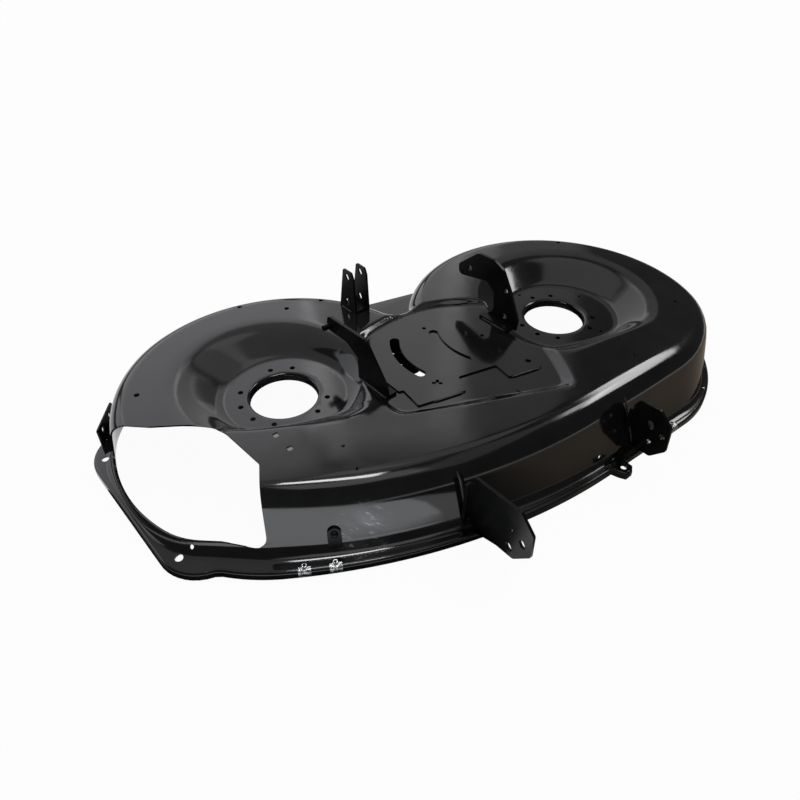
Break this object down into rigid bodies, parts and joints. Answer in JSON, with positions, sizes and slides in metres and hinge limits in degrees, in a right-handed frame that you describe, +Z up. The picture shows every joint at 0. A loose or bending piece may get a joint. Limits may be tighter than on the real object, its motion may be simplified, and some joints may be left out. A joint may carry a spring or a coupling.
{
  "type": "lawn mower deck",
  "caption": "Pressed steel two-blade mower deck with dished spindle wells, a side discharge opening, a rim and welded lift and hanger brackets, in gloss black.",
  "frame": {"origin": "middle of the bounding box in plan, on the floor under the rim lip", "axes": "+X across the machine away from the discharge, +Y to the machine's rear, +Z up"},
  "size_m": [1.1058, 0.7615, 0.2168],
  "materials": {
    "shell_paint": "gloss black",
    "bracket_paint": "satin black",
    "zinc": "bright zinc plate"
  },
  "bodies": {
    "root": {"deck_shell": "shell_paint", "centre_plate": "shell_paint", "left_lift_bracket": "bracket_paint", "right_lift_bracket": "bracket_paint", "left_lift_pin": "bracket_paint", "rear_clevis": "bracket_paint", "front_left_bracket": "bracket_paint", "front_right_bracket": "bracket_paint", "chute_hinge_bracket": "bracket_paint", "skirt_strap": "bracket_paint", "strap_rivet": "bracket_paint", "rim_clips": "zinc"}
  },
  "joints": []
}
